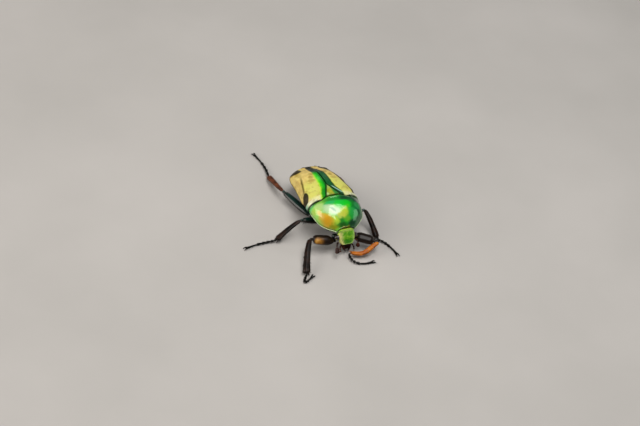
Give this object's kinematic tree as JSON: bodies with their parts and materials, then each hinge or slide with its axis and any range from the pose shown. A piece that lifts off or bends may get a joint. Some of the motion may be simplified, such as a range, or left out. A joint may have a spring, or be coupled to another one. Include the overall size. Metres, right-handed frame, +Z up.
{
  "type": "flower beetle",
  "caption": "Life-size still model of a hornless flower beetle walking, with domed metallic green shield, straw-yellow wing cases, hanging square face and jointed legs.",
  "frame": {"origin": "On the floor, under the middle of the box round the whole insect with its legs", "axes": "+Z is up from the floor on which the feet rest, +Y points to the beetle's tail and its head looks along -Y, +X points to the beetle's own left side"},
  "size_m": [0.0396, 0.0544, 0.0112],
  "materials": {
    "shield": "polished metallic green with a coppery gold bloom and a blue-green flush at the rear and one side",
    "wing_case": "straw yellow lacquer with fine dark pits, a metallic green wedge along the seam and dark brown spots",
    "scutellum": "metallic yellow-green with green borders",
    "shoulder": "pale yellow-green with a metallic sheen",
    "face": "metallic green, pitted, with pale raised side rims",
    "eye": "glossy black, faceted",
    "horn": "dark red-brown, glossy",
    "underside": "blackish with a green metallic gloss, finely pitted",
    "leg_dark": "black-brown, glossy, finely pitted",
    "shin_red": "red-brown, glossy",
    "shin_orange": "bright reddish orange, glossy",
    "thigh_gold": "golden brown, glossy"
  },
  "bodies": {
    "root": {"abdomen": "underside", "antenna_club_left": "horn", "antenna_club_right": "horn", "antenna_left": "horn", "antenna_right": "horn", "coxa_front_left": "underside", "coxa_front_right": "underside", "coxa_hind_left": "underside", "coxa_hind_right": "underside", "coxa_middle_left": "underside", "coxa_middle_right": "underside", "elytron_left": "wing_case", "elytron_right": "wing_case", "eye_left": "eye", "eye_right": "eye", "femur_front_left": "thigh_gold", "femur_front_right": "thigh_gold", "femur_hind_left": "leg_dark", "femur_hind_right": "leg_dark", "femur_middle_left": "leg_dark", "femur_middle_right": "leg_dark", "head": "face", "mesepimeron_left": "shoulder", "mesepimeron_right": "shoulder", "mouthparts": "horn", "pronotum": "shield", "prothorax": "underside", "pygidium": "underside", "scutellum": "scutellum", "tarsus_front_left": "leg_dark", "tarsus_front_right": "leg_dark", "tarsus_hind_left": "leg_dark", "tarsus_hind_right": "leg_dark", "tarsus_middle_left": "leg_dark", "tarsus_middle_right": "leg_dark", "thorax": "underside", "tibia_front_left": "shin_orange", "tibia_front_right": "leg_dark", "tibia_hind_left": "shin_red", "tibia_hind_right": "shin_red", "tibia_middle_left": "leg_dark", "tibia_middle_right": "leg_dark"}
  },
  "joints": []
}
